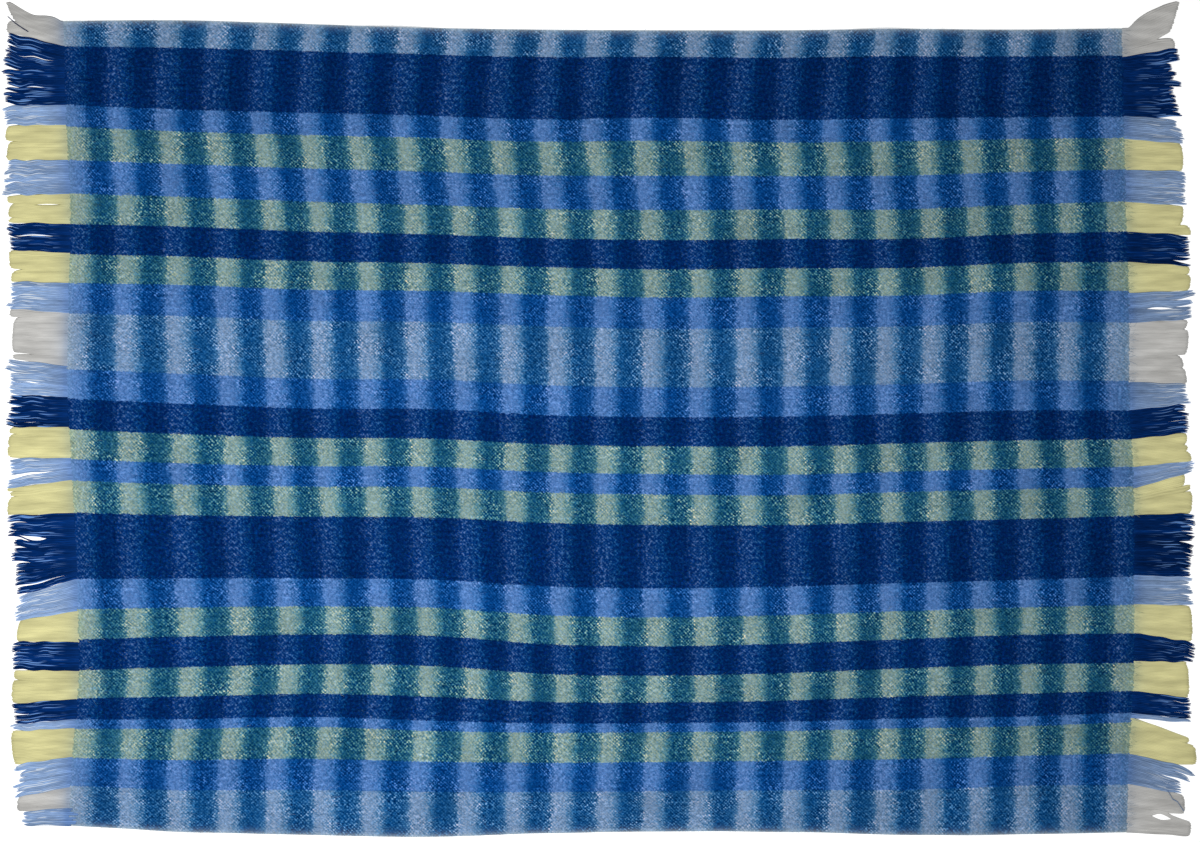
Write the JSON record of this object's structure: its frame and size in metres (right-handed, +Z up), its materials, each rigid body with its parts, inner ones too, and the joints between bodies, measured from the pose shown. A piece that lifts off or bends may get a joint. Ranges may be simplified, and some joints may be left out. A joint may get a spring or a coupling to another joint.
{
  "type": "throw blanket",
  "caption": "Brushed plaid throw blanket lying flat, a thin rectangular woven sheet with its loose warp ends left as a fringe along both short edges.",
  "frame": {"origin": "on the floor, at the middle of the throw's box", "axes": "+X along the warp, from the left fringe to the right one; +Y across the warp; +Z up from the floor"},
  "size_m": [1.7934, 1.2462, 0.0075],
  "materials": {
    "woven_plaid": "brushed wool twill with navy, periwinkle, pale yellow and off-white warp bands and blue weft stripes",
    "fringe_yarn": "loose warp yarns in navy, periwinkle, pale yellow and off-white"
  },
  "bodies": {
    "root": {"blanket_cloth": "woven_plaid", "fringe_left": "fringe_yarn", "fringe_right": "fringe_yarn"}
  },
  "joints": []
}
